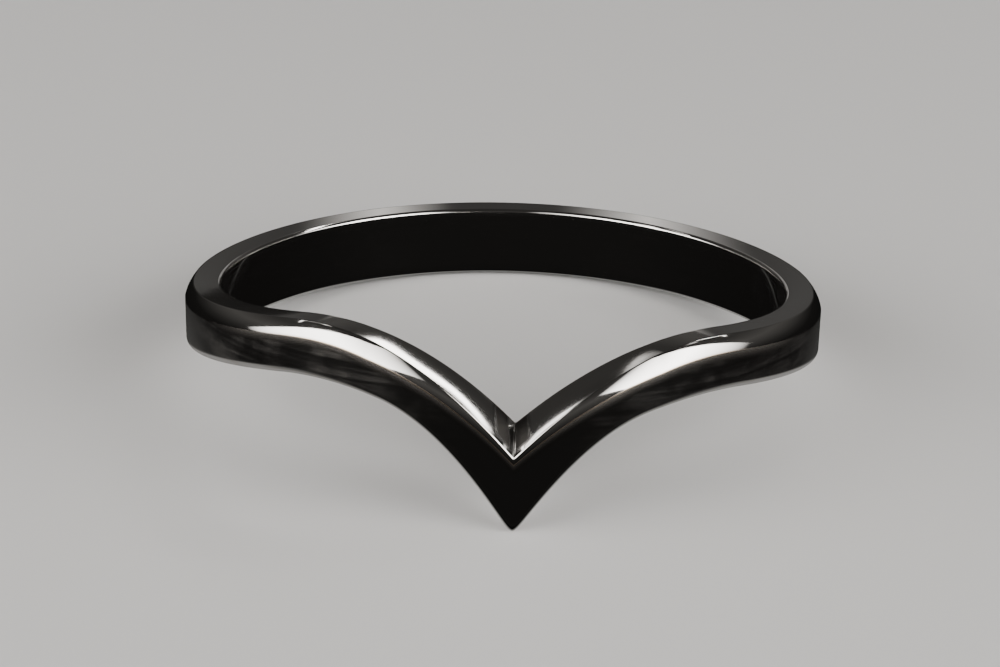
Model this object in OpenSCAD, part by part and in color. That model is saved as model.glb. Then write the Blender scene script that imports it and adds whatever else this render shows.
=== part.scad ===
/* [Finger opening] */
// Inner diameter of the ring
inner_d = 17.3; // [14:0.1:22]

/* [Band] */
// Thickness of the band, from the finger opening to the outer face
band_t = 1.12; // [1:0.02:1.6]
// Width of the band round the back
back_w = 2.15; // [1.8:0.05:2.6]
// Width of the band at the two shoulders, above the arms of the V
shoulder_w = 1.67; // [1.5:0.01:1.9]
// Dip of the sides, which leaves the back standing a little higher
side_dip = 0.11; // [0:0.01:0.3]

/* [V front] */
// Depth of the V's inner point below the top of the back
point_depth = 1.5; // [1:0.01:2.5]
// Rise of the left side towards the front, from which the left arm falls
left_lift = 1.68; // [1:0.01:2]
// Rise of the right side towards the front, from which the right arm falls
right_lift = 1.15; // [1:0.01:2]
// Angle round the band over which each arm of the V falls
arm_reach = 44; // [35:1:60]
// How hollow the arms are, where 1 is straight
arm_curve = 2.2; // [1.5:0.05:3]
// Extra width of the band at the point of the V
point_extra_w = 1.36; // [0.8:0.02:1.6]
// Angle round the band over which the band widens to the point
point_reach = 23; // [20:1:40]
// Width of the blunt end of the tip
blunt_w = 0.3; // [0.1:0.05:0.6]

/* [Edges and bevels] */
// Height lost across the top face at the point of the V
top_bevel = 0.77; // [0.4:0.01:1]
// Height gained across the underside at the point of the V
under_bevel = 0.5; // [0.3:0.02:0.8]
// Angle round the band over which both bevels fade out
bevel_reach = 38; // [30:1:60]
// Height of the rounding between the top face and the outer face
round_h = 0.48; // [0.3:0.02:0.6]
// Radial width of that rounding
round_w = 0.24; // [0.1:0.01:0.3]
// Share of the rounding's height left at the point of the V, where it is a crisp edge
crisp_share = 0.35; // [0.1:0.01:0.6]
// Angle round the band over which the crisp edge softens
crisp_reach = 26; // [15:1:40]
// Radius of the edges next to the finger
inner_edge_r = 0.1; // [0.08:0.01:0.2]
// Radius of the lower outer edge
lower_edge_r = 0.22; // [0.15:0.01:0.3]

/* [Hidden] */

inner_r = inner_d / 2;
outer_r = inner_r + band_t;
// The outer face leans in towards its foot by this much
face_lean = 0.03;
foot_r = outer_r - face_lean;
// The swept body reaches this far into the finger opening, where the bore trims it
bore_spare = 0.08;
// The inner edges end this far outside the bore, so that the bore cuts cleanly through what joins them
edge_clear = 0.03;
bore_h = 30;
bore_sides = 180;
// Angle through which each inner edge turns before it meets the bore
inner_turn = 62;
// The band widens from the shoulders to the back between these angles
widen_from = 35;
widen_to = 130;
// How hollow the widening to the point is, where 1 is straight
point_hollow = 2;
// The dip of the sides fades out from this angle to the back
dip_from = 100;
// How late the sides rise towards the front
rise_power = 6;
// How the fall across the top face grows outwards, where 1 is even
bevel_curve = 1.35;
// How hollow both bevels and the softening of the crisp edge are as they fade out, where 1 is straight
bevel_hollow = 2.2;
crisp_hollow = 1.2;
// The rounding's radial width shrinks towards the point by this power of its share
inset_power = 3;
// How far the rounding stands out from a flat chamfer, as shares of its width and height, above a crease at its foot
bulge_out = 0.24;
bulge_up = 0.06;

// Sections on each side of the point, crowded towards it, and points along each stretch of one
side_sections = 72;
crowding = 1.5;
edge_steps = 3;
top_steps = 4;
round_steps = 5;

// 1 at the point of the V, falling to 0 at the angle reach on either side
function fade(a, reach, power) = pow(max(0, 1 - abs(a) / reach), power);
// 0 up to the angle from, rising smoothly to 1 at the angle to
function ease(a, from, to) =
    let (t = min(1, max(0, (abs(a) - from) / (to - from))))
    t * t * (3 - 2 * t);

// Heights round the band. The angle a is 0 at the point of the V and 180 at the back
function lift(a) = a < 0 ? left_lift : right_lift;
function top_z(a) = (lift(a) + side_dip) * pow(cos(a / 2), rise_power) - side_dip * (1 - ease(a, dip_from, 180))
    - (lift(a) + point_depth) * fade(a, arm_reach, arm_curve);
function rim_z(a) = top_z(a) - top_bevel * fade(a, bevel_reach, bevel_hollow);
function width(a) = shoulder_w + (back_w - shoulder_w) * ease(a, widen_from, widen_to)
    + point_extra_w * fade(a, point_reach, point_hollow);

// The tip's lower edge is blunted by measuring its angle from a hyperbola
blunt_a = blunt_w / 2 / outer_r * 180 / PI;
function blunted(a) = (a < 0 ? -1 : 1) * (sqrt(a * a + blunt_a * blunt_a) - blunt_a);
function low_z(a) = let (b = blunted(a)) top_z(b) - width(b);
function inner_low_z(a) = low_z(a) + under_bevel * fade(a, bevel_reach, bevel_hollow);

function rounding(a) = 1 - (1 - crisp_share) * fade(a, crisp_reach, crisp_hollow);

// Points of a circular arc in a section, from the direction d0 to the direction d1
function arc(c, r, d0, d1) =
    [for (i = [0:edge_steps]) let (d = d0 + (d1 - d0) * i / edge_steps) c + r * [cos(d), sin(d)]];
function curve(p0, p1, p2) =
    [for (i = [1:round_steps]) let (t = i / round_steps)
        (1 - t) * (1 - t) * p0 + 2 * t * (1 - t) * p1 + t * t * p2];

// One section of the band as [radius, height] pairs, from the inner lower edge over the top to the foot
function section(a) =
    let (
        start_r = inner_r + edge_clear + inner_edge_r * sin(inner_turn),
        top = top_z(a),
        inset = round_w * pow(rounding(a), inset_power),
        rim = [outer_r - inset, rim_z(a)],
        fall = (top - rim.y) / pow(rim.x - start_r, bevel_curve),
        slope = bevel_curve * fall * pow(rim.x - start_r, bevel_curve - 1),
        drop = slope * inset + round_h * rounding(a),
        shoulder_foot = [outer_r, rim.y - drop],
        bulge = (rim + shoulder_foot) / 2 + [bulge_out * inset, bulge_up * drop],
        foot = foot_centre(a),
        under_slope = atan2(inner_low_z(a) - low_z(a), outer_r - inner_r),
        inner_top = arc([start_r, top - inner_edge_r], inner_edge_r, 90 + inner_turn, 90),
        inner_foot = arc([start_r, inner_low_z(a) + inner_edge_r], inner_edge_r, -90, -90 - inner_turn),
        spare = [edge_clear + bore_spare, (edge_clear + bore_spare) * tan(inner_turn)]
    )
    concat(
        [inner_top[0] - spare],
        inner_top,
        [for (i = [1:top_steps]) let (r = start_r + (rim.x - start_r) * i / top_steps)
            [r, top - fall * pow(r - start_r, bevel_curve)]],
        curve(rim, bulge, shoulder_foot),
        arc(foot, lower_edge_r, 0, -90 - under_slope),
        inner_foot,
        [inner_foot[edge_steps] + [-spare.x, spare.y]]
    );

// Centre of the round lower outer edge
function foot_centre(a) = [foot_r - lower_edge_r, low_z(a) + lower_edge_r];

// The tip and the back rest on that edge, so the slope between its two centres is the tilt at rest
tip_foot = foot_centre(0);
back_foot = foot_centre(180);
rest_tilt = atan2(back_foot.y - tip_foot.y, back_foot.x + tip_foot.x);
function rested(p) = [p.x, p.y * cos(rest_tilt) + p.z * sin(rest_tilt), p.z * cos(rest_tilt) - p.y * sin(rest_tilt)];

angles = [for (k = [-side_sections:side_sections - 1])
    180 * sign(k) * pow(abs(k) / side_sections, crowding)];
sections = [for (a = angles) section(a)];
section_points = len(sections[0]);
swept = [for (k = [0:len(angles) - 1]) for (p = sections[k])
    [p.x * sin(angles[k]), -p.x * cos(angles[k]), p.y]];
posed = [for (p = swept) rested(p)];
low = min([for (p = posed) p.z]);
middle_y = (min([for (p = posed) p.y]) + max([for (p = posed) p.y])) / 2;

// Two triangles for each stretch between neighbouring sections, their diagonals mirrored at the point
function side_faces() =
    [for (k = [0:len(angles) - 1]) for (j = [0:section_points - 1])
        let (
            k2 = (k + 1) % len(angles),
            j2 = (j + 1) % section_points,
            p = k * section_points + j,
            q = k * section_points + j2,
            r = k2 * section_points + j2,
            s = k2 * section_points + j
        )
        each angles[k] < 0 ? [[p, q, r], [p, r, s]] : [[p, q, s], [q, r, s]]];

module band() {
    color("silver")
        translate([0, -middle_y, -low])
            rotate([-rest_tilt, 0, 0])
                difference() {
                    polyhedron(points = swept, faces = side_faces());
                    cylinder(h = bore_h, r = inner_r, center = true, $fn = bore_sides);
                }
}

band();
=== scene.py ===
"""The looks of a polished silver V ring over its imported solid. Sizes are in mm here and angles in degrees."""
import math

import bpy
from mathutils import Matrix, Vector


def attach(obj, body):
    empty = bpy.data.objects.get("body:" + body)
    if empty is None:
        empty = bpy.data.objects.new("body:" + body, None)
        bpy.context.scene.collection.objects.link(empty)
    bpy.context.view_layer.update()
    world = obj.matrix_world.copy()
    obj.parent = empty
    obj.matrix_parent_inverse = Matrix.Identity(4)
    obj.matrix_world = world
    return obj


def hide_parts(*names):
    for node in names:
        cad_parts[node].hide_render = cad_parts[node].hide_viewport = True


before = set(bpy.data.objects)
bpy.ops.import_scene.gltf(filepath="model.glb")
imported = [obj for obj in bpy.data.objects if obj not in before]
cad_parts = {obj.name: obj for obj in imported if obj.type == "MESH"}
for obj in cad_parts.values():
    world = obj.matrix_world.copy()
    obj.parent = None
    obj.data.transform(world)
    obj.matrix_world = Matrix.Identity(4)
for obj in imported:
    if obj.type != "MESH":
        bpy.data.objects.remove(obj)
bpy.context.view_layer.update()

MM = 0.001

# The band's dimensions, as in the part's source
INNER_R = 8.65
BAND_T = 1.12
BACK_W = 2.15
SHOULDER_W = 1.67
SIDE_DIP = 0.11
POINT_DEPTH = 1.5
LEFT_LIFT = 1.68
RIGHT_LIFT = 1.15
ARM_REACH = 44
ARM_CURVE = 2.2
POINT_EXTRA_W = 1.36
POINT_REACH = 23
BLUNT_W = 0.3
TOP_BEVEL = 0.77
UNDER_BEVEL = 0.5
BEVEL_REACH = 38
ROUND_H = 0.48
ROUND_W = 0.24
ROUND_BULGE_OUT = 0.24
ROUND_BULGE_UP = 0.06
INSET_POWER = 3
CRISP_SHARE = 0.35
CRISP_REACH = 26
INNER_EDGE_R = 0.1
LOWER_EDGE_R = 0.22
FACE_LEAN = 0.03
WIDEN_FROM = 35
WIDEN_TO = 130
DIP_FROM = 100
BEVEL_CURVE = 1.35
BEVEL_HOLLOW = 2.2
CRISP_HOLLOW = 1.2
POINT_HOLLOW = 2
RISE_POWER = 6

# The polished surface lies this far inside the solid, so that it stays in the solid's box
SKIN = 0.004
# The crease at the foot of the rounding is worn over this height
CREASE_W = 0.015
# The valley between the two arms of the top face is worn round over this width
VALLEY_W = 0.05
# That valley leans: its inner end lies this many degrees to the right of its outer end
MITRE_LEAN = 0.5

# The camera's place, worked out from the finger opening's circle in the photograph
PHOTO_W = 1000
PHOTO_H = 667
SENSOR_W = 36
FOCAL_PX = 3936.5
CAMERA_DISTANCE = 14 * INNER_R
CLIP_START = CAMERA_DISTANCE / 10
CLIP_END = 10000
# The camera's angle above the ring's own plane, its angle round from the V's point to the left, and its roll
CAMERA_RISE = 16.68
CAMERA_TURN = 2.3
CAMERA_ROLL = 1.14
# The pixel at which the centre of the ring shows, at the height of the back's top edge
CENTRE_PX = (503.5, 285)

# The floor rises into a round backdrop behind the lights
FLOOR_R = 500
BACKDROP_R = 900
BACKDROP_H = 500
BACKDROP_STEPS = 24
FLOOR_SEGMENTS = 96
# The hole in its middle is too small to see
FLOOR_MIDDLE_R = 0.01
FLOOR_COLOUR = (0.73, 0.735, 0.74)
FLOOR_ROUGHNESS = 0.9
FLOOR_SPECULAR = 0.1

# Every light is a slightly warm sheet. All but the low strip stand at this distance from the ring
LIGHT_DISTANCE = 250
LIGHT_COLOUR = (1, 0.965, 0.925)
# Softboxes: heading from straight behind the ring round to the right, angle of rise, width, height, roll,
# radiance, and the shares of the width over which the light fades in from each end
SOFTBOXES = {
    "front_left": (-118.2, 18.8, 499, 200, 36.5, 12, 0.56, 0.9),
    "front_right": (120.6, 18.8, 355, 223, -41.6, 12, 0.47, 0.9),
    "side_left": (-85.5, 51, 36, 31, 14, 5.5, 0.3, 0.3),
    "side_right": (95.3, 48.6, 40, 32, -42.7, 1.6, 0.3, 0.3),
}
# Arched strips above and behind the ring, all in angles: heading and rise of the middle, fall to the ends,
# half the span and the strip's height. After them comes the radiance at shares of the strip's length
ARCHES = {
    "arch_right": (
        42.6, 45.4, 16.6, 37.1, 2.6,
        ((0, 0), (0.12, 8), (0.85, 8), (0.96, 5), (0.985, 0), (1, 0)),
    ),
    "arch_left": (
        -42.8, 52.2, 21, 38.8, 1.6,
        ((0, 0), (0.04, 5), (0.3, 4), (0.38, 0.8), (0.45, 0.2), (0.62, 0.2), (0.76, 0.9), (0.9, 1), (1, 0)),
    ),
}
# Every sheet has this many steps along its width
SHEET_STEPS = 100
# A dim strip low behind the ring: its ends to the left and right, its top, its distance and its radiance
STRIP_X = (-16, 26)
STRIP_TOP = 24
STRIP_Y = 110
STRIP_GLOW = 0.045
# It has two bright places and a faint one near each end, each with its place to the right, its reach and its
# radiance, which falls off by this power
STRIP_BRIGHT = ((-14, 7, 0.026), (-3.6, 4.7, 0.8), (13.3, 5.6, 0.8), (22.5, 7, 0.026))
STRIP_FALL = 1.5

# The light of the room, at shares of the way from straight down to straight up, and its slightly warm colour
ROOM = (
    (0, 0), (0.35, 0.007), (0.44, 0.009), (0.5, 0.022), (0.62, 0.067),
    (0.72, 0.034), (0.85, 0.034), (0.92, 0.02), (1, 0.03),
)
ROOM_COLOUR = (1.05, 1, 0.94)
# At the sides and behind, the band reflects this pale glow in place of the floor. It fades in between these
# limits of the reflected direction's height and of its share backwards
FLOOR_GLOW = (0.3, 0.295, 0.285)
GLOW_HEIGHT = (-0.4, -0.5)
GLOW_BACK = (-0.35, 0.25)

# Polished silver, the warm brown of the painted reflection at the crease, and the painted shade in the corner
# between the arms
SILVER = (0.87, 0.86, 0.845)
WARM_SHEEN_AND_TARNISH = (0.36, 0.28, 0.2)
CORNER_SHADE = (0.11, 0.105, 0.1)
# The corner's painted shade fades in and out between these distances from the valley, and fades out towards the
# rim between these shares of the top face's width
CORNER = (0.04, 0.1, 0.42, 0.58)
CORNER_RIM = (0.78, 0.96)
# The band's radius in the coordinates of the polishing lines, which stretches them along the band
LINES_R = 0.5
# The crease and the lower edge are worn dull over these distances on either side, and the crease's wear and
# its painted warm reflection fade out between two angles
CREASE_REACH = 0.06
EDGE_REACH = 0.05
CREASE_FROM = 35
CREASE_TO = 60
# Below the crease the outer face is hazy, with a painted warm reflection, over these distances, at the point of
# the V and beyond HAZE_SPREAD
HAZE_REACH = (0.3, 0.48)
HAZE_SPREAD = 20
# This share of the haze is left at the point, and the haze fades out between two angles
HAZE_AT_POINT = 0.9
HAZE_FADE = (50, 80)
# The outer face is clean at the point of the V, and its streaks fade in between these angles
STREAKS_FROM = 4
STREAKS_TO = 24
# The left side is the more worn: the streaks' mean strength, and how much more the left has than that
STREAKS_MEAN = 0.85
STREAKS_LEFT = 0.15

# Roughness: of clean silver between two values, what streaks and scratches add, what the other wear reaches
CLEAN_ROUGH = (0.055, 0.075)
STREAKS_ROUGH = 0.18
SCRATCH_ROUGH = 0.04
CREASE_ROUGH = 0.34
EDGE_ROUGH = 0.2
CORNER_ROUGH = 0.3
HAZE_ROUGH = 0.3
# How much of the crease's warm brown the haze and the streaks have: on the haze it is a painted warm
# reflection, on the streaks partly tarnish in the wear and partly a painted reflection
HAZE_SHEEN = 0.5
STREAKS_SHEEN_AND_TARNISH = 0.25
# Heights of the relief: the waviness, the polishing lines and the scratches
WAVES_RELIEF = 0.004
LINES_RELIEF = 0.00015
SCRATCH_RELIEF = -0.0002
# Noises: scale, detail and roughness. The limits are those between which the noise is used, and after them
# comes the least strength of the streaks and patches
LINES_NOISE = (22, 3, 0.6)
LINES_LIMITS = (0.3, 0.7)
STREAKS_NOISE = (5, 5, 0.65)
STREAKS_LIMITS = (0.34, 0.64, 0.4)
PATCHES_NOISE = (0.9, 4, 0.6)
PATCHES_LIMITS = (0.38, 0.6, 0.55)
WAVES_NOISE = (0.55, 1, 0.4)
# Two sets of scratches: turn, stretch along their direction, scale, width, and the limits of the noise that
# shows them
SCRATCHES = (
    ((15, 20, 35), 16, 1.1, 0.007, (0.5, 0.62)),
    ((70, -30, 110), 20, 1.3, 0.006, (0.52, 0.62)),
)
# The scale of the noise that shows the scratches, as a share of their own
COVER_SCALE = 0.6
# Sockets of a Mix node for colours: its two colours and its result
MIX_UNDER = 6
MIX_OVER = 7
MIX_RESULT = 2

INNER_WALL_R = INNER_R + SKIN
OUTER_R = INNER_R + BAND_T - SKIN

# Sections on each side of the point, crowded towards it, and the steps of each stretch of a section
SIDE_SECTIONS = 300
CROWDING = 1.5
WALL_STEPS = 10
EDGE_STEPS = 12
TOP_STEPS = 24
ROUND_STEPS = 26
FACE_STEPS = 12
UNDER_STEPS = 8
# The points of a section that lie in the crease and at the lower end of the outer face. Between them the
# face has the crease's lower end and two stops for the wear besides its even steps
CREASE_AT = EDGE_STEPS + TOP_STEPS + ROUND_STEPS
FACE_END = CREASE_AT + FACE_STEPS + 3


def fade(angle, reach, power):
    """1 at the point of the V, falling to 0 at the angle reach on either side."""
    return max(0, 1 - abs(angle) / reach) ** power


def ease(angle, start, end):
    """0 up to the angle start, rising smoothly to 1 at the angle end."""
    t = min(1, max(0, (abs(angle) - start) / (end - start)))
    return t * t * (3 - 2 * t)


def blunted(angle, width):
    """The angle measured from a hyperbola, which rounds off a point to about that width."""
    half = math.degrees(width / 2 / OUTER_R)
    return math.copysign(math.hypot(angle, half) - half, angle)


def top_height(angle):
    """Height of the inner top edge, where 0 is the top of the back."""
    lift = LEFT_LIFT if angle < 0 else RIGHT_LIFT
    side = (lift + SIDE_DIP) * math.cos(math.radians(angle) / 2) ** RISE_POWER
    side -= SIDE_DIP * (1 - ease(angle, DIP_FROM, 180))
    return side - (lift + POINT_DEPTH) * fade(angle, ARM_REACH, ARM_CURVE)


def valley_height(angle, out):
    """Height of the arms without the bevel, at a share of the way out to the rim across the top face."""
    return top_height(blunted(angle - MITRE_LEAN * (1 - out) * fade(angle, BEVEL_REACH, 1), VALLEY_W))


def low_height(angle):
    """Height of the lower edge."""
    angle = blunted(angle, BLUNT_W)
    width = SHOULDER_W + (BACK_W - SHOULDER_W) * ease(angle, WIDEN_FROM, WIDEN_TO)
    return top_height(angle) - width - POINT_EXTRA_W * fade(angle, POINT_REACH, POINT_HOLLOW)


def foot_centre(angle):
    """Centre of the round lower outer edge, on which the ring rests."""
    return Vector((OUTER_R - FACE_LEAN - LOWER_EDGE_R, low_height(angle) + LOWER_EDGE_R + SKIN))


def line(start, end, steps):
    """Points from start towards end, without start."""
    return [start.lerp(end, i / steps) for i in range(1, steps + 1)]


def arc(centre, radius, first, last, steps):
    """Points of a circular arc between two directions in degrees, without the first."""
    turns = [math.radians(first + (last - first) * i / steps) for i in range(1, steps + 1)]
    return [centre + radius * Vector((math.cos(t), math.sin(t))) for t in turns]


def rounding(start, corner, end, steps):
    """Points of a smooth curve from start round a corner to end, without start."""
    curve = []
    for i in range(1, steps + 1):
        t = i / steps
        curve.append((1 - t) ** 2 * start + 2 * t * (1 - t) * corner + t * t * end)
    return curve


def section(angle):
    """One closed section of the band as (radius, height) pairs."""
    bevel = TOP_BEVEL * fade(angle, BEVEL_REACH, BEVEL_HOLLOW)
    top = valley_height(angle, 0) - SKIN
    rim_height = valley_height(angle, 1) - SKIN - bevel
    share = 1 - (1 - CRISP_SHARE) * fade(angle, CRISP_REACH, CRISP_HOLLOW)
    top_start = INNER_WALL_R + INNER_EDGE_R
    inset = ROUND_W * share ** INSET_POWER
    rim_r = OUTER_R - inset
    reach = rim_r - top_start
    slope = BEVEL_CURVE * bevel / reach
    rim = Vector((rim_r, rim_height))
    drop = slope * inset + ROUND_H * share
    shoulder_foot = Vector((OUTER_R, rim_height - drop))
    bulge = (rim + shoulder_foot) / 2 + Vector((ROUND_BULGE_OUT * inset, ROUND_BULGE_UP * drop))
    foot = foot_centre(angle)
    low = foot.y - LOWER_EDGE_R
    inner_low = low + UNDER_BEVEL * fade(angle, BEVEL_REACH, BEVEL_HOLLOW)
    under_slope = math.degrees(math.atan2(inner_low - low, BAND_T))
    inner_foot = Vector((top_start, inner_low + INNER_EDGE_R))
    top_face = []
    for i in range(1, TOP_STEPS + 1):
        out = i / TOP_STEPS
        height = valley_height(angle, out) - SKIN - bevel * out ** BEVEL_CURVE
        top_face.append(Vector((top_start + reach * out, height)))
    wall_top = Vector((INNER_WALL_R, top - INNER_EDGE_R))
    foot_arc = arc(foot, LOWER_EDGE_R, 0, -90 - under_slope, EDGE_STEPS)
    inner_arc = arc(inner_foot, INNER_EDGE_R, -90, -180, EDGE_STEPS)
    under_end = inner_foot - Vector((0, INNER_EDGE_R))
    face_top = shoulder_foot - Vector((0, CREASE_W))
    face_low = foot + Vector((LOWER_EDGE_R, 0))
    span = (face_low - face_top).length
    stops = [CREASE_REACH / span, *(i / FACE_STEPS for i in range(1, FACE_STEPS)), 1 - EDGE_REACH / span, 1]
    return (
        [wall_top]
        + arc(Vector((top_start, wall_top.y)), INNER_EDGE_R, 180, 90, EDGE_STEPS)
        + top_face
        + rounding(rim, bulge, shoulder_foot, ROUND_STEPS)
        + [face_top]
        + [face_top.lerp(face_low, t) for t in stops]
        + foot_arc
        + line(foot_arc[-1], under_end, UNDER_STEPS)
        + inner_arc
        + line(inner_arc[-1], wall_top, WALL_STEPS)[:-1]
    )


def section_marks(angle):
    """Coordinates for the polishing lines and the share of each kind of wear, painted warm reflection and
    painted shade, at each point of a section.
    """
    turn = math.radians(angle)
    ring = section(angle)
    in_front = 1 - ease(angle, CREASE_FROM, CREASE_TO)
    away_from_point = ease(angle, 0, HAZE_SPREAD)
    haze_reach = HAZE_REACH[0] + (HAZE_REACH[1] - HAZE_REACH[0]) * away_from_point
    haze = (HAZE_AT_POINT + (1 - HAZE_AT_POINT) * away_from_point) * (1 - ease(angle, *HAZE_FADE))
    streaks = ease(angle, STREAKS_FROM, STREAKS_TO) * (STREAKS_MEAN - STREAKS_LEFT * math.sin(turn))
    marks = []
    for j, p in enumerate(ring):
        out = (j - EDGE_STEPS) / TOP_STEPS
        from_valley = abs(turn + math.radians(MITRE_LEAN) * min(1, max(0, 1 - out))) * p.x
        corner = ease(from_valley, *CORNER[:2]) * (1 - ease(from_valley, *CORNER[2:]))
        corner *= 1 - ease(max(0, out), *CORNER_RIM)
        from_crease = (p - ring[CREASE_AT]).length
        on_face = CREASE_AT <= j <= FACE_END + EDGE_STEPS
        marks.append({
            "lines": (LINES_R * math.cos(turn), LINES_R * math.sin(turn), p.x),
            "height": (p.y,),
            "crease": (in_front * max(0, 1 - from_crease / CREASE_REACH),),
            "haze": (haze * max(0, 1 - from_crease / haze_reach) if on_face else 0,),
            "edge": (max(0, 1 - (p - ring[FACE_END]).length / EDGE_REACH),),
            "streaks": (streaks if on_face else 0,),
            "corner": (corner if j < CREASE_AT else 0,),
        })
    return marks


def rest_tilt():
    """The tilt of the ring at rest on the tip and the back, in radians."""
    tip, back = foot_centre(0), foot_centre(180)
    return math.atan2(back.y - tip.y, back.x + tip.x)


def section_angles():
    """Angles of the sections, from the back round the point to the back again."""
    steps = range(-SIDE_SECTIONS, SIDE_SECTIONS)
    return [math.copysign(180 * abs(k / SIDE_SECTIONS) ** CROWDING, k) for k in steps]


def swept_sections():
    """The points of every section, in mm in the band's own frame, and how many one section has."""
    points = []
    for angle in section_angles():
        turn = math.radians(angle)
        ring = section(angle)
        points += [Vector((p.x * math.sin(turn), -p.x * math.cos(turn), p.y)) for p in ring]
    return points, len(ring)


def placing(points):
    """The matrix from the band's own frame, in mm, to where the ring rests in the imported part's frame."""
    turn = Matrix.Rotation(-rest_tilt(), 4, "X")
    turned = [turn @ p for p in points]
    ys = [p.y for p in turned]
    shift = Vector((0, -(min(ys) + max(ys)) / 2, SKIN - min(p.z for p in turned)))
    return Matrix.Scale(MM, 4) @ Matrix.Translation(shift) @ turn


def build_band(points, count, place):
    """The polished band as one closed mesh that stands for the solid."""
    sections = len(points) // count
    faces = []
    marks = [mark for angle in section_angles() for mark in section_marks(angle)]
    for k in range(sections):
        here, ahead = k * count, (k + 1) % sections * count
        for j in range(count):
            nxt = (j + 1) % count
            faces.append((here + j, here + nxt, ahead + nxt, ahead + j))
    mesh = bpy.data.meshes.new("polished_band")
    mesh.from_pydata(points, [], faces)
    mesh.transform(place)
    mesh.shade_smooth()
    for name in marks[0]:
        kind, field = ("FLOAT_VECTOR", "vector") if name == "lines" else ("FLOAT", "value")
        values = [value for mark in marks for value in mark[name]]
        mesh.attributes.new(name, kind, "POINT").data.foreach_set(field, values)
    band = bpy.data.objects.new("polished_band", mesh)
    bpy.context.scene.collection.objects.link(band)
    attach(band, "root")
    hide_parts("band")
    return band


def build_camera(place):
    """The camera at the photograph's viewing angle, aimed so that the ring's centre shows at its pixel."""
    rise, turn = math.radians(CAMERA_RISE), math.radians(CAMERA_TURN)
    outward = Vector((-math.sin(turn) * math.cos(rise), -math.cos(turn) * math.cos(rise), math.sin(rise)))
    right = Vector((0, 0, 1)).cross(outward).normalized()
    facing = Matrix((right, outward.cross(right), outward)).transposed().to_4x4()
    pan = math.atan((CENTRE_PX[0] - PHOTO_W / 2) / FOCAL_PX)
    tip = math.atan((CENTRE_PX[1] - PHOTO_H / 2) / FOCAL_PX)
    roll = Matrix.Rotation(math.radians(CAMERA_ROLL), 4, "Z")
    aim = roll @ Matrix.Rotation(tip, 4, "X") @ Matrix.Rotation(pan, 4, "Y")
    data = bpy.data.cameras.new("camera")
    data.sensor_width = SENSOR_W
    data.lens = FOCAL_PX / PHOTO_W * SENSOR_W
    data.clip_start = CLIP_START * MM
    data.clip_end = CLIP_END * MM
    camera = bpy.data.objects.new("camera", data)
    turned = place.to_3x3().normalized().to_4x4() @ facing @ aim
    camera.matrix_world = Matrix.Translation(place @ (CAMERA_DISTANCE * outward)) @ turned
    bpy.context.scene.collection.objects.link(camera)
    bpy.context.scene.camera = camera


def lathe(name, profile, segments):
    """An open surface turned round the vertical axis from (radius, height) pairs in mm."""
    points, faces = [], []
    for radius, height in profile:
        for k in range(segments):
            turn = 2 * math.pi * k / segments
            points.append((radius * math.cos(turn) * MM, radius * math.sin(turn) * MM, height * MM))
    for row in range(len(profile) - 1):
        for k in range(segments):
            here, side = row * segments + k, row * segments + (k + 1) % segments
            faces.append((here, side, side + segments, here + segments))
    mesh = bpy.data.meshes.new(name)
    mesh.from_pydata(points, [], faces)
    mesh.shade_smooth()
    turned = bpy.data.objects.new(name, mesh)
    bpy.context.scene.collection.objects.link(turned)
    return turned


def build_floor():
    """The plain pale floor and its backdrop, which the mirror-like band doesn't reflect."""
    profile = [(FLOOR_MIDDLE_R, 0), (FLOOR_R, 0)]
    for i in range(1, BACKDROP_STEPS + 1):
        turn = math.pi / 2 * i / BACKDROP_STEPS
        out = FLOOR_R + (BACKDROP_R - FLOOR_R) * math.sin(turn)
        profile.append((out, BACKDROP_H * (1 - math.cos(turn))))
    floor = lathe("floor", profile, FLOOR_SEGMENTS)
    material = bpy.data.materials.new("pale_floor")
    material.use_nodes = True
    shader = material.node_tree.nodes["Principled BSDF"]
    shader.inputs["Base Color"].default_value = (*FLOOR_COLOUR, 1)
    shader.inputs["Roughness"].default_value = FLOOR_ROUGHNESS
    shader.inputs["Specular IOR Level"].default_value = FLOOR_SPECULAR
    floor.data.materials.append(material)
    floor.visible_glossy = False


def toward(heading, rise):
    """The direction from the ring at a heading from straight behind it and a height, both in degrees."""
    heading, rise = math.radians(heading), math.radians(rise)
    return Vector((math.sin(heading) * math.cos(rise), math.cos(heading) * math.cos(rise), math.sin(rise)))


def faded(share, low, high):
    """A light's brightness at a share of its width, fading in over the shares low and high from its ends."""
    return min(1, share / low) * min(1, (1 - share) / high)


def between(share, profile):
    """The value at a share of a length, on straight lines between (share, value) pairs."""
    for (start, low), (end, high) in zip(profile, profile[1:]):
        if share <= end:
            return low + (high - low) * (share - start) / (end - start)
    return profile[-1][1]


def light_sheet(name, columns):
    """A glowing sheet, which the camera doesn't see, from columns of (lower end, upper end, radiance)."""
    points = [p * MM for lower, upper, _ in columns for p in (lower, upper)]
    faces = [(2 * k, 2 * k + 2, 2 * k + 3, 2 * k + 1) for k in range(len(columns) - 1)]
    mesh = bpy.data.meshes.new(name)
    mesh.from_pydata(points, [], faces)
    glow = mesh.attributes.new("glow", "FLOAT", "POINT")
    glow.data.foreach_set("value", [radiance for *_, radiance in columns for _ in range(2)])
    material = bpy.data.materials.new(name)
    material.use_nodes = True
    nodes, links = material.node_tree.nodes, material.node_tree.links
    nodes.remove(nodes["Principled BSDF"])
    emission = nodes.new("ShaderNodeEmission")
    strength = nodes.new("ShaderNodeAttribute")
    strength.attribute_name = "glow"
    emission.inputs["Color"].default_value = (*LIGHT_COLOUR, 1)
    links.new(strength.outputs["Fac"], emission.inputs["Strength"])
    links.new(emission.outputs[0], nodes["Material Output"].inputs["Surface"])
    mesh.materials.append(material)
    sheet = bpy.data.objects.new(name, mesh)
    bpy.context.scene.collection.objects.link(sheet)
    sheet.visible_camera = False
    sheet.visible_shadow = False


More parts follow.
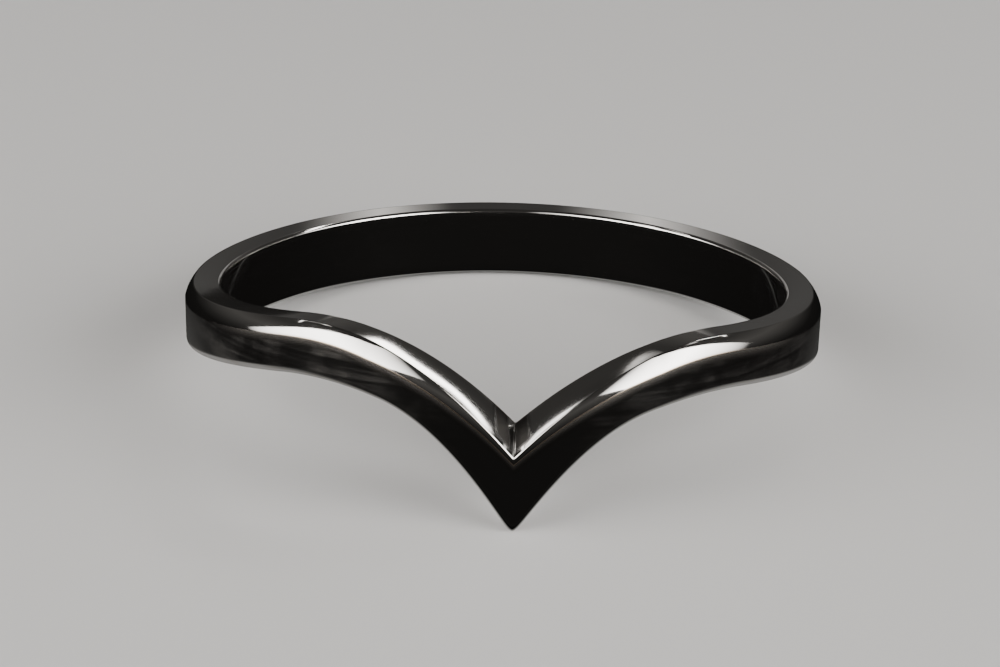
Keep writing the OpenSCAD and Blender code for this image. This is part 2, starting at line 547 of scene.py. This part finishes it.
def flat_sheet(name, centre, width, height, roll, radiance, low, high):
    """A flat light at centre that faces the ring, is rolled and stops at the floor."""
    turn = centre.to_track_quat("Z", "Y").to_matrix() @ Matrix.Rotation(math.radians(roll), 3, "Z")
    columns = []
    for i in range(SHEET_STEPS + 1):
        share = i / SHEET_STEPS
        across = (share - 0.5) * width
        lower, upper = (centre + turn @ Vector((across, side * height / 2, 0)) for side in (-1, 1))
        if lower.z > upper.z:
            lower, upper = upper, lower
        if upper.z > 0:
            lower = lower.lerp(upper, max(0, -lower.z) / (upper.z - lower.z))
            columns.append((lower, upper, radiance * faded(share, low, high)))
    light_sheet(name, columns)


def build_lights():
    """Two softboxes in front and two at the sides, two arched strips above, and a dim strip low behind."""
    for name, (heading, rise, *shape) in SOFTBOXES.items():
        flat_sheet(name, LIGHT_DISTANCE * toward(heading, rise), *shape)
    for name, (heading, middle, fall, half, height, profile) in ARCHES.items():
        columns = []
        for i in range(SHEET_STEPS + 1):
            share = i / SHEET_STEPS
            along = 2 * share - 1
            rise = middle - fall * along * along
            ends = [LIGHT_DISTANCE * toward(heading + half * along, r) for r in (rise, rise + height)]
            columns.append((*ends, between(share, profile)))
        light_sheet(name, columns)
    columns = []
    for i in range(SHEET_STEPS + 1):
        x = STRIP_X[0] + (STRIP_X[1] - STRIP_X[0]) * i / SHEET_STEPS
        glow = STRIP_GLOW
        for middle, reach, radiance in STRIP_BRIGHT:
            glow += radiance * max(0, 1 - abs(x - middle) / reach) ** STRIP_FALL
        columns.append((Vector((x, STRIP_Y, 0)), Vector((x, STRIP_Y, STRIP_TOP)), glow))
    light_sheet("back_strip", columns)


def build_room():
    """The room's dim light, with a pale glow from below at the sides and behind."""
    world = bpy.data.worlds.new("room")
    world.use_nodes = True
    nodes, links = world.node_tree.nodes, world.node_tree.links
    where = nodes.new("ShaderNodeTexCoord")
    split = nodes.new("ShaderNodeSeparateXYZ")
    unit = nodes.new("ShaderNodeMapRange")
    unit.inputs["From Min"].default_value = -1
    ramp = nodes.new("ShaderNodeValToRGB")
    stops = ramp.color_ramp.elements
    for at, value in ROOM:
        # The ramp already has a stop at either end
        stop = stops[0] if at == 0 else stops[len(stops) - 1] if at == 1 else stops.new(at)
        stop.color = (*(value * tint for tint in ROOM_COLOUR), 1)
    links.new(where.outputs["Generated"], split.inputs[0])
    links.new(split.outputs["Z"], unit.inputs["Value"])
    links.new(unit.outputs[0], ramp.inputs["Fac"])
    share = nodes.new("ShaderNodeMath")
    share.operation = "MULTIPLY"
    for i, (axis, (start, end)) in enumerate((("Z", GLOW_HEIGHT), ("Y", GLOW_BACK))):
        limit = nodes.new("ShaderNodeMapRange")
        limit.inputs["From Min"].default_value = start
        limit.inputs["From Max"].default_value = end
        links.new(split.outputs[axis], limit.inputs["Value"])
        links.new(limit.outputs[0], share.inputs[i])
    glow = nodes.new("ShaderNodeMix")
    glow.data_type = "RGBA"
    links.new(share.outputs[0], glow.inputs["Factor"])
    links.new(ramp.outputs["Color"], glow.inputs[MIX_UNDER])
    glow.inputs[MIX_OVER].default_value = (*FLOOR_GLOW, 1)
    links.new(glow.outputs[MIX_RESULT], nodes["Background"].inputs["Color"])
    bpy.context.scene.world = world


def silver():
    """Polished silver with polishing lines along the band, stray scratches and dull streaks. A warm brown
    paints a reflection at the crease and below it and tints the streaks, partly as tarnish and partly as a
    painted reflection;
    a dark colour paints shade in the corner between the arms.
    """
    material = bpy.data.materials.new("polished_silver")
    material.use_nodes = True
    nodes, links = material.node_tree.nodes, material.node_tree.links
    shader = nodes["Principled BSDF"]
    shader.inputs["Metallic"].default_value = 1
    where = nodes.new("ShaderNodeTexCoord")

    def connect(source, socket):
        """Sets a socket to a number, or links it to another node's output."""
        if isinstance(source, (int, float)):
            socket.default_value = source
        else:
            links.new(source, socket)

    def attribute(name, output="Fac"):
        node = nodes.new("ShaderNodeAttribute")
        node.attribute_name = name
        return node.outputs[output]

    def noise(vector, scale, detail, roughness, w=None):
        """Noise from about 0 to 1, in four dimensions where w is given."""
        node = nodes.new("ShaderNodeTexNoise")
        node.inputs["Scale"].default_value = scale
        node.inputs["Detail"].default_value = detail
        node.inputs["Roughness"].default_value = roughness
        links.new(vector, node.inputs["Vector"])
        if w is not None:
            node.noise_dimensions = "4D"
            links.new(w, node.inputs["W"])
        return node.outputs["Fac"]

    def spread(value, low, high, to_low, to_high):
        """The value brought smoothly from between low and high to between to_low and to_high."""
        node = nodes.new("ShaderNodeMapRange")
        node.interpolation_type = "SMOOTHSTEP"
        connect(value, node.inputs["Value"])
        node.inputs["From Min"].default_value = low
        node.inputs["From Max"].default_value = high
        node.inputs["To Min"].default_value = to_low
        node.inputs["To Max"].default_value = to_high
        return node.outputs[0]

    def compute(operation, first, second=0.0):
        node = nodes.new("ShaderNodeMath")
        node.operation = operation
        connect(first, node.inputs[0])
        connect(second, node.inputs[1])
        return node.outputs[0]

    def scaled(source, factor):
        return compute("MULTIPLY", source, factor)

    def greatest(first, *others):
        for other in others:
            first = compute("MAXIMUM", first, other)
        return first

    def placed(turn, stretch):
        """Coordinates in mm, turned and stretched along the first axis."""
        node = nodes.new("ShaderNodeMapping")
        node.vector_type = "POINT"
        node.inputs["Rotation"].default_value = [math.radians(t) for t in turn]
        node.inputs["Scale"].default_value = (1 / MM / stretch, 1 / MM, 1 / MM)
        links.new(where.outputs["Object"], node.inputs["Vector"])
        return node.outputs[0]

    def hairlines(turn, stretch, scale, width, cover):
        """Thin scratches along one direction, only where a second noise lets them show."""
        bed = placed(turn, stretch)
        off = compute("ABSOLUTE", compute("SUBTRACT", noise(bed, scale, 0, 0.5), 0.5))
        shown = spread(noise(bed, scale * COVER_SCALE, 1, 0.5), *cover, 0, 1)
        return compute("MULTIPLY", spread(off, 0, width, 1, 0), shown)

    def raised(height, relief, below=None):
        """A normal bumped by a height of so many mm, on top of the normal below."""
        node = nodes.new("ShaderNodeBump")
        node.inputs["Strength"].default_value = 1
        node.inputs["Distance"].default_value = relief * MM
        links.new(height, node.inputs["Height"])
        if below:
            links.new(below, node.inputs["Normal"])
        return node.outputs[0]

    def tinted(share, under, over):
        """A mix of a colour or an output, under, and a colour, over."""
        node = nodes.new("ShaderNodeMix")
        node.data_type = "RGBA"
        links.new(share, node.inputs["Factor"])
        if isinstance(under, tuple):
            node.inputs[MIX_UNDER].default_value = (*under, 1)
        else:
            links.new(under, node.inputs[MIX_UNDER])
        node.inputs[MIX_OVER].default_value = (*over, 1)
        return node.outputs[MIX_RESULT]

    even = placed((0, 0, 0), 1)
    along, height = attribute("lines", "Vector"), attribute("height")
    crease, haze, edge, corner = (attribute(name) for name in ("crease", "haze", "edge", "corner"))
    fine = noise(along, *LINES_NOISE, height)
    waves = noise(even, *WAVES_NOISE)
    coarse = spread(noise(along, *STREAKS_NOISE, height), *STREAKS_LIMITS, 1)
    patches = spread(noise(even, *PATCHES_NOISE), *PATCHES_LIMITS, 1)
    streaks = compute("MULTIPLY", compute("MULTIPLY", coarse, patches), attribute("streaks"))
    scratches = greatest(*(hairlines(*scratch) for scratch in SCRATCHES))

    rough = compute("ADD", spread(fine, *LINES_LIMITS, *CLEAN_ROUGH), scaled(streaks, STREAKS_ROUGH))
    rough = compute("ADD", rough, scaled(scratches, SCRATCH_ROUGH))
    wear = ((crease, CREASE_ROUGH), (edge, EDGE_ROUGH), (corner, CORNER_ROUGH), (haze, HAZE_ROUGH))
    rough = greatest(rough, *(scaled(mark, most) for mark, most in wear))
    links.new(rough, shader.inputs["Roughness"])

    # The warm brown is a painted reflection at the crease and on the haze, and partly tarnish, partly a painted
    # reflection on the streaks
    brown = greatest(crease, scaled(haze, HAZE_SHEEN), scaled(streaks, STREAKS_SHEEN_AND_TARNISH))
    # The dark corner colour is painted shade in the corner between the arms
    colour = tinted(corner, tinted(brown, SILVER, WARM_SHEEN_AND_TARNISH), CORNER_SHADE)
    links.new(colour, shader.inputs["Base Color"])

    normal = raised(waves, WAVES_RELIEF)
    normal = raised(fine, LINES_RELIEF, normal)
    normal = raised(scratches, SCRATCH_RELIEF, normal)
    links.new(normal, shader.inputs["Normal"])
    return material


ring_points, section_points = swept_sections()
ring_place = placing(ring_points)
band = build_band(ring_points, section_points, ring_place)
band.data.materials.append(silver())
build_camera(ring_place)
build_floor()
build_lights()
build_room()
